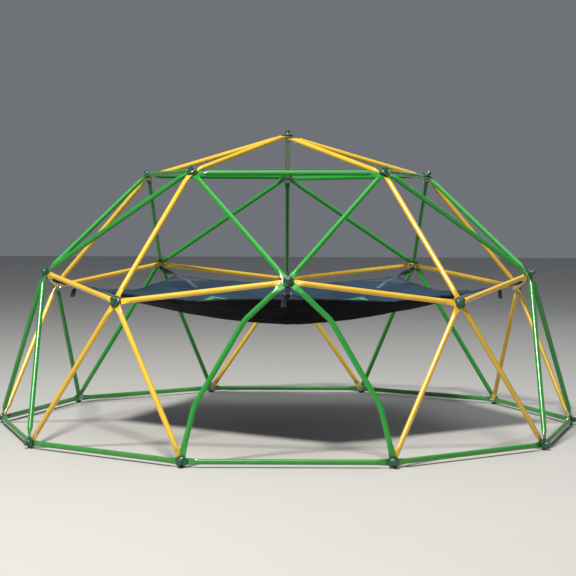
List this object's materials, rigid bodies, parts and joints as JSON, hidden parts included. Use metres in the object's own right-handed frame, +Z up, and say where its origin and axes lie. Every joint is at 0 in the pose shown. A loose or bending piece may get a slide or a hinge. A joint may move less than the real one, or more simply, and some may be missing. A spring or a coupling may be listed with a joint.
{
  "type": "dome climber",
  "caption": "Geodesic dome climber of bolted yellow and green tubes with a bowed door, bell caps on the hubs and a strap-hung fabric hammock inside.",
  "frame": {"origin": "on the ground under the apex, at the middle of the dome's footprint", "axes": "+Z up, the door faces -Y, +X to the right of someone facing the door from outside, the widest direction"},
  "size_m": [3.0786, 2.934, 1.5553],
  "materials": {
    "yellow_powder_coat": "gloss powder coat",
    "green_powder_coat": "gloss powder coat",
    "cap_plastic": "moulded, semi-gloss",
    "seat_plastic": "matte",
    "zinc_plate": "bright zinc plate",
    "hammock_fabric": "woven polyester",
    "hem_fabric": "folded and stitched edge",
    "patch_fabric": "doubled, box-stitched",
    "green_tape": "woven edging tape, stitched",
    "buckle_metal": "zinc plate",
    "black_webbing": "ribbed polypropylene webbing"
  },
  "bodies": {
    "frame": {"apex_tube_0": "yellow_powder_coat", "upper_rib_0": "yellow_powder_coat", "middle_ring_tubes_0": "yellow_powder_coat", "rib_legs_0": "yellow_powder_coat", "apex_tube_1": "yellow_powder_coat", "upper_rib_1": "yellow_powder_coat", "middle_ring_tubes_1": "yellow_powder_coat", "rib_legs_1": "yellow_powder_coat", "middle_ring_tubes_2": "yellow_powder_coat", "rib_legs_2": "yellow_powder_coat", "apex_tube_3": "yellow_powder_coat", "upper_rib_3": "yellow_powder_coat", "middle_ring_tubes_3": "yellow_powder_coat", "apex_tube_4": "yellow_powder_coat", "upper_rib_4": "yellow_powder_coat", "middle_ring_tubes_4": "yellow_powder_coat", "rib_legs_4": "yellow_powder_coat", "rib_leg_3_front": "yellow_powder_coat", "upper_ring_tube_0": "green_powder_coat", "upper_braces_0": "green_powder_coat", "base_rails_0": "green_powder_coat", "upper_ring_tube_1": "green_powder_coat", "upper_braces_1": "green_powder_coat", "base_rails_1": "green_powder_coat", "brace_legs_1": "green_powder_coat", "apex_tube_2": "green_powder_coat", "upper_rib_2": "green_powder_coat", "upper_ring_tube_2": "green_powder_coat", "upper_braces_2": "green_powder_coat", "base_rails_2": "green_powder_coat", "brace_legs_2": "green_powder_coat", "upper_ring_tube_3": "green_powder_coat", "upper_braces_3": "green_powder_coat", "base_rails_3": "green_powder_coat", "brace_legs_3": "green_powder_coat", "upper_ring_tube_4": "green_powder_coat", "upper_braces_4": "green_powder_coat", "base_rails_4": "green_powder_coat", "brace_legs_4": "green_powder_coat", "rib_leg_3_rear": "green_powder_coat", "door_post_left": "green_powder_coat", "door_post_right": "green_powder_coat", "hub_caps": "cap_plastic", "base_hub_caps": "cap_plastic", "cap_seats": "seat_plastic", "hub_bolts": "zinc_plate", "hub_washers": "zinc_plate", "hub_nuts": "zinc_plate", "hanging_straps": "black_webbing"},
    "hammock": {"hammock_sheet": "hammock_fabric", "hammock_hem": "hem_fabric", "hammock_corner_patches": "patch_fabric", "hammock_tape": "green_tape", "strap_buckles": "buckle_metal"},
    "strap_tail_0": {"strap_tail_0": "black_webbing"},
    "strap_tail_1": {"strap_tail_1": "black_webbing"},
    "strap_tail_2": {"strap_tail_2": "black_webbing"},
    "strap_tail_3": {"strap_tail_3": "black_webbing"},
    "strap_tail_4": {"strap_tail_4": "black_webbing"}
  },
  "joints": [
    {"name": "hammock_bounce", "type": "slide", "parent": "frame", "child": "hammock", "axis": [0, 0, 1], "range_m": [-0.06, 0], "stiffness_N_per_m": 8000, "deforming": ["hanging_straps"]},
    {"name": "tail_swing_0", "type": "hinge", "parent": "hammock", "child": "strap_tail_0", "pos_m": [0, -1.13183, 0.74358], "axis": [1, 0, 0], "range_deg": [-60, 60]},
    {"name": "tail_swing_1", "type": "hinge", "parent": "hammock", "child": "strap_tail_1", "pos_m": [1.07643, -0.34975, 0.74358], "axis": [0.309, 0.9511, 0], "range_deg": [-60, 60]},
    {"name": "tail_swing_2", "type": "hinge", "parent": "hammock", "child": "strap_tail_2", "pos_m": [0.66527, 0.91567, 0.74358], "axis": [-0.809, 0.5878, 0], "range_deg": [-60, 60]},
    {"name": "tail_swing_3", "type": "hinge", "parent": "hammock", "child": "strap_tail_3", "pos_m": [-0.66527, 0.91567, 0.74358], "axis": [-0.809, -0.5878, 0], "range_deg": [-60, 60]},
    {"name": "tail_swing_4", "type": "hinge", "parent": "hammock", "child": "strap_tail_4", "pos_m": [-1.07643, -0.34975, 0.74358], "axis": [0.309, -0.9511, 0], "range_deg": [-60, 60]}
  ]
}
